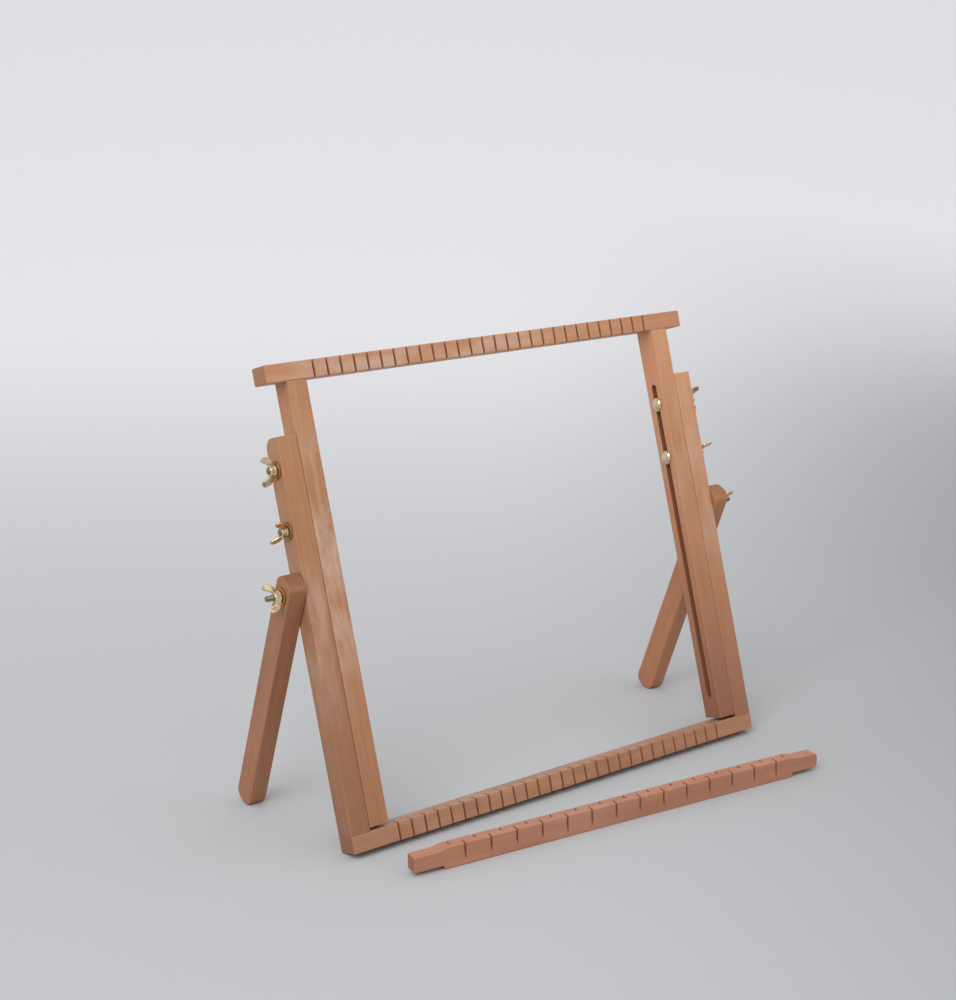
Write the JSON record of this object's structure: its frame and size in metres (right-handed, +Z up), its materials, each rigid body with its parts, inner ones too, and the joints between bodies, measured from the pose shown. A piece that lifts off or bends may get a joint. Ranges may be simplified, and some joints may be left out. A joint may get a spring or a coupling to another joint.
{
  "type": "frame loom",
  "caption": "Leaning wooden frame loom with kerfed beams, a sliding upper frame clamped by wing nuts, folding legs and a loose warp separator.",
  "frame": {"origin": "on the table, under the middle of the bounding box of loom and separator", "axes": "+Z up; +X along the beams, to the right as the weaver sees it; +Y away from the weaver, towards the legs"},
  "size_m": [0.5014, 0.2676, 0.3898],
  "materials": {
    "frame_beech": "sanded beech, sealed to a low sheen",
    "leg_beech": "sanded beech, a darker cut, sealed to a low sheen",
    "separator_beech": "sanded beech, reddish, sealed to a low sheen",
    "dowel_beech": "plain turned beech, glued",
    "plated_bolt": "bright brass plating, duller on the thread",
    "brass": "bright polished brass"
  },
  "bodies": {
    "lower_frame": {"bottom_beam": "frame_beech", "left_bottom_back_dowel": "dowel_beech", "left_bottom_front_dowel": "dowel_beech", "left_leg_bolt": "plated_bolt", "left_leg_washer": "brass", "left_lower_clamp_bolt": "plated_bolt", "left_lower_clamp_washer": "brass", "left_outer_upright": "frame_beech", "left_upper_clamp_bolt": "plated_bolt", "left_upper_clamp_washer": "brass", "right_bottom_back_dowel": "dowel_beech", "right_bottom_front_dowel": "dowel_beech", "right_leg_bolt": "plated_bolt", "right_leg_washer": "brass", "right_lower_clamp_bolt": "plated_bolt", "right_lower_clamp_washer": "brass", "right_outer_upright": "frame_beech", "right_upper_clamp_bolt": "plated_bolt", "right_upper_clamp_washer": "brass"},
    "upper_frame": {"top_beam": "frame_beech", "left_inner_upright": "frame_beech", "right_inner_upright": "frame_beech", "left_top_back_dowel": "dowel_beech", "left_top_front_dowel": "dowel_beech", "right_top_back_dowel": "dowel_beech", "right_top_front_dowel": "dowel_beech"},
    "left_leg": {"left_leg": "leg_beech"},
    "right_leg": {"right_leg": "leg_beech"},
    "warp_separator": {"warp_separator": "separator_beech"},
    "left_leg_wing_nut": {"left_leg_wing_nut": "brass"},
    "left_lower_clamp_wing_nut": {"left_lower_clamp_wing_nut": "brass"},
    "left_upper_clamp_wing_nut": {"left_upper_clamp_wing_nut": "brass"},
    "right_leg_wing_nut": {"right_leg_wing_nut": "brass"},
    "right_lower_clamp_wing_nut": {"right_lower_clamp_wing_nut": "brass"},
    "right_upper_clamp_wing_nut": {"right_upper_clamp_wing_nut": "brass"}
  },
  "joints": [
    {"name": "frame_extension", "type": "slide", "parent": "lower_frame", "child": "upper_frame", "axis": [0, 0.2756, 0.9613], "range_m": [-0.002, 0.21]},
    {"name": "left_leg_pivot", "type": "hinge", "parent": "lower_frame", "child": "left_leg", "pos_m": [0, 0.03602, 0.21031], "axis": [1, 0, 0], "range_deg": [-39.4, 110]},
    {"name": "right_leg_pivot", "type": "hinge", "parent": "lower_frame", "child": "right_leg", "pos_m": [0, 0.03602, 0.21031], "axis": [1, 0, 0], "range_deg": [-39.4, 110]},
    {"name": "separator_lift", "type": "slide", "parent": "lower_frame", "child": "warp_separator", "axis": [0, 0, 1], "range_m": [0, 0.06]},
    {"name": "left_leg_wing_nut_turn", "type": "hinge", "parent": "lower_frame", "child": "left_leg_wing_nut", "pos_m": [0, 0.03602, 0.21031], "axis": [1, 0, 0], "continuous": true},
    {"name": "left_lower_clamp_wing_nut_turn", "type": "hinge", "parent": "lower_frame", "child": "left_lower_clamp_wing_nut", "pos_m": [0, 0.0498, 0.25837], "axis": [1, 0, 0], "continuous": true},
    {"name": "left_upper_clamp_wing_nut_turn", "type": "hinge", "parent": "lower_frame", "child": "left_upper_clamp_wing_nut", "pos_m": [0, 0.06359, 0.30644], "axis": [1, 0, 0], "continuous": true},
    {"name": "right_leg_wing_nut_turn", "type": "hinge", "parent": "lower_frame", "child": "right_leg_wing_nut", "pos_m": [0, 0.03602, 0.21031], "axis": [1, 0, 0], "continuous": true},
    {"name": "right_lower_clamp_wing_nut_turn", "type": "hinge", "parent": "lower_frame", "child": "right_lower_clamp_wing_nut", "pos_m": [0, 0.0498, 0.25837], "axis": [1, 0, 0], "continuous": true},
    {"name": "right_upper_clamp_wing_nut_turn", "type": "hinge", "parent": "lower_frame", "child": "right_upper_clamp_wing_nut", "pos_m": [0, 0.06359, 0.30644], "axis": [1, 0, 0], "continuous": true}
  ]
}
